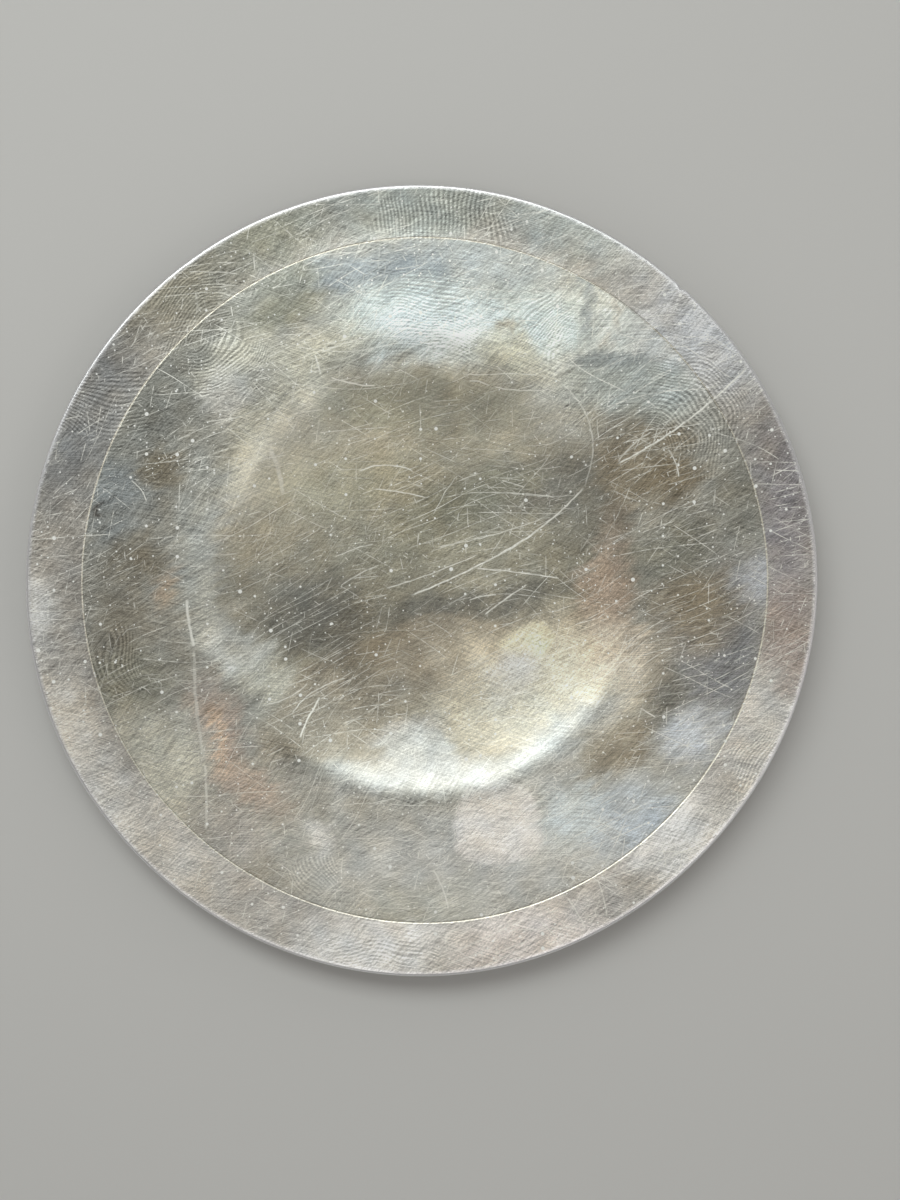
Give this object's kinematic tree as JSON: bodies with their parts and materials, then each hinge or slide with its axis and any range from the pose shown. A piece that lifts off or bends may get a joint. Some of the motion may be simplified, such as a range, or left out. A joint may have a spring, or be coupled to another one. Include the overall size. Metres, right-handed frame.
{
  "type": "offering plate",
  "caption": "Small round communion offering plate of spun sheet metal, with a shallow round well, a wide shallow flange, an engraved ring near the edge and a plain rounded rim",
  "frame": {"origin": "middle of the flat underside of the well, which the plate rests on", "axes": "+Z is the plate's axis of symmetry and points up out of the well; +X and +Y lie in the resting plane"},
  "size_m": [0.13, 0.13, 0.0062],
  "materials": {
    "tarnished_silver": "old hand-polished silver, unevenly tarnished, with fine scratches and finger marks"
  },
  "bodies": {
    "root": {"plate": "tarnished_silver"}
  },
  "joints": []
}
